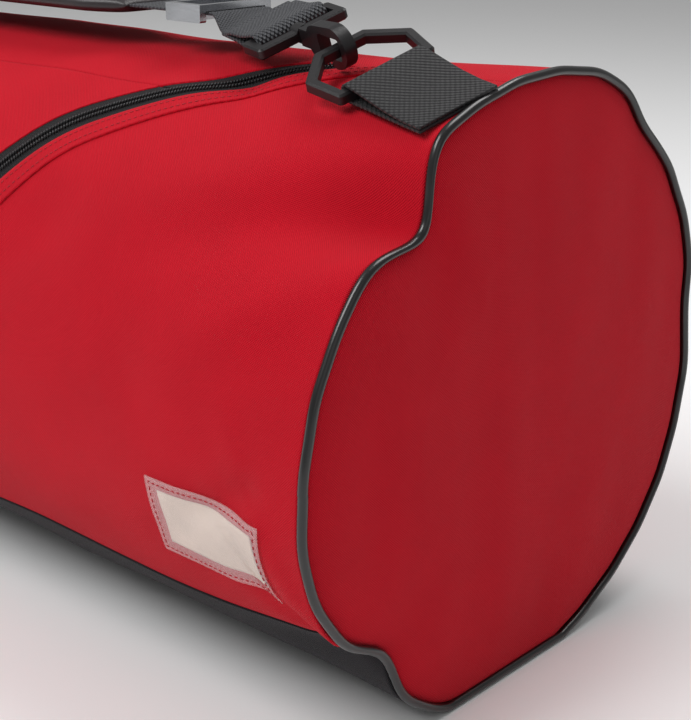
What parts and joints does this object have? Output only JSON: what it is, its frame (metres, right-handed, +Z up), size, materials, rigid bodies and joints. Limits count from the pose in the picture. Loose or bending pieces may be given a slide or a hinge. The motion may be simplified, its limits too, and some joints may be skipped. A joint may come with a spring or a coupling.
{
  "type": "bowling ball bag",
  "caption": "Round fabric holdall with piped ends, a curved zip mouth on the front, end rings and a padded clip-on shoulder strap; carries a bowling ball and kit.",
  "frame": {"origin": "on the floor under the middle of the barrel", "axes": "+X along the barrel towards its right-hand end, +Y to the back, +Z up"},
  "size_m": [0.68, 0.283, 0.3003],
  "materials": {
    "red_fabric": "woven polyester, matt",
    "black_fabric": "woven polyester, matt",
    "piping_vinyl": "glossy vinyl cord cover",
    "binding": "woven tape",
    "zip_tape": "woven tape",
    "zip_coil": "nylon coil",
    "slider_metal": "black enamel",
    "webbing": "ribbed webbing",
    "hardware_plastic": "moulded acetal",
    "clear_vinyl": "clear flexible vinyl",
    "card": "plain card",
    "board": "stiff board",
    "pad_leather": "soft grained synthetic leather",
    "adjuster_metal": "polished plate"
  },
  "bodies": {
    "root": {"front_panel": "red_fabric", "back_panel": "red_fabric", "base_panel": "black_fabric", "base_board": "board", "right_end_panel": "red_fabric", "left_end_panel": "red_fabric", "right_piping": "piping_vinyl", "left_piping": "piping_vinyl", "right_seam_binding": "binding", "left_seam_binding": "binding", "zip_facing": "red_fabric", "zip_tape_front": "zip_tape", "zip_coil_front": "zip_coil", "zip_tape_top": "zip_tape", "zip_coil_top": "zip_coil", "id_card": "card", "id_window": "clear_vinyl", "right_ring_tab": "webbing", "left_ring_tab": "webbing"},
    "flap": {"mouth_flap": "red_fabric", "zip_tape_flap": "zip_tape", "zip_coil_flap": "zip_coil"},
    "right_slider": {"right_slider": "slider_metal"},
    "left_slider": {"left_slider": "slider_metal"},
    "right_pull": {"right_pull": "slider_metal"},
    "left_pull": {"left_pull": "slider_metal"},
    "right_ring": {"right_ring": "hardware_plastic"},
    "left_ring": {"left_ring": "hardware_plastic"},
    "strap": {"strap_webbing": "webbing", "right_swivel_base": "hardware_plastic", "left_swivel_base": "hardware_plastic"},
    "right_hook": {"right_hook": "hardware_plastic"},
    "left_hook": {"left_hook": "hardware_plastic"},
    "right_gate": {"right_gate": "hardware_plastic"},
    "left_gate": {"left_gate": "hardware_plastic"},
    "right_adjuster": {"right_adjuster": "adjuster_metal"},
    "left_adjuster": {"left_adjuster": "adjuster_metal"},
    "pad": {"shoulder_pad": "pad_leather"}
  },
  "joints": [
    {"name": "flap_fold", "type": "hinge", "parent": "root", "child": "flap", "pos_m": [0, -0.05806, 0.26339], "axis": [-1, 0, 0], "range_deg": [0, 115], "deforming": ["zip_tape_flap", "zip_coil_flap"]},
    {"name": "right_slider_travel", "type": "slide", "parent": "root", "child": "right_slider", "axis": [1, 0, 0], "range_m": [0, 0.05]},
    {"name": "left_slider_travel", "type": "slide", "parent": "root", "child": "left_slider", "axis": [-1, 0, 0], "range_m": [0, 0.05]},
    {"name": "right_pull_lift", "type": "hinge", "parent": "right_slider", "child": "right_pull", "pos_m": [0.008, -0.12352, 0.21022], "axis": [0, -0.515, -0.8572], "range_deg": [0, 95]},
    {"name": "left_pull_lift", "type": "hinge", "parent": "left_slider", "child": "left_pull", "pos_m": [-0.008, -0.12352, 0.21022], "axis": [0, 0.515, 0.8572], "range_deg": [0, 95]},
    {"name": "right_ring_lift", "type": "hinge", "parent": "root", "child": "right_ring", "pos_m": [0.28277, -0.03845, 0.27728], "axis": [0.2588, 0.9048, 0.3383], "range_deg": [0, 2]},
    {"name": "left_ring_lift", "type": "hinge", "parent": "root", "child": "left_ring", "pos_m": [-0.28277, -0.03845, 0.27728], "axis": [0.2588, -0.9048, -0.3383], "range_deg": [0, 2]},
    {"name": "strap_swing", "type": "hinge", "parent": "root", "child": "strap", "pos_m": [0, -0.03294, 0.28509], "axis": [1, 0, 0], "range_deg": [0, 8]},
    {"name": "right_hook_swivel", "type": "hinge", "parent": "strap", "child": "right_hook", "pos_m": [0.25328, -0.03294, 0.28509], "axis": [-0.9659, 0.2424, 0.0906], "range_deg": [-8, 8]},
    {"name": "left_hook_swivel", "type": "hinge", "parent": "strap", "child": "left_hook", "pos_m": [-0.25328, -0.03294, 0.28509], "axis": [-0.9659, -0.2424, -0.0906], "range_deg": [-8, 8]},
    {"name": "right_gate_opening", "type": "hinge", "parent": "right_hook", "child": "right_gate", "pos_m": [0.23657, -0.0264, 0.28038], "axis": [-0.2588, -0.9048, -0.3383], "range_deg": [0, 9], "stiffness_Nm_per_rad": 0.02, "springref_deg": -20.05},
    {"name": "left_gate_opening", "type": "hinge", "parent": "left_hook", "child": "left_gate", "pos_m": [-0.23657, -0.0264, 0.28038], "axis": [-0.2588, 0.9048, 0.3383], "range_deg": [0, 9], "stiffness_Nm_per_rad": 0.02, "springref_deg": -20.05},
    {"name": "right_adjuster_slide", "type": "slide", "parent": "strap", "child": "right_adjuster", "axis": [1, 0, 0], "range_m": [-0.008, 0.008]},
    {"name": "left_adjuster_slide", "type": "slide", "parent": "strap", "child": "left_adjuster", "axis": [-1, 0, 0], "range_m": [-0.008, 0.008]},
    {"name": "pad_slide", "type": "slide", "parent": "strap", "child": "pad", "axis": [1, 0, 0], "range_m": [-0.02, 0.02]}
  ]
}
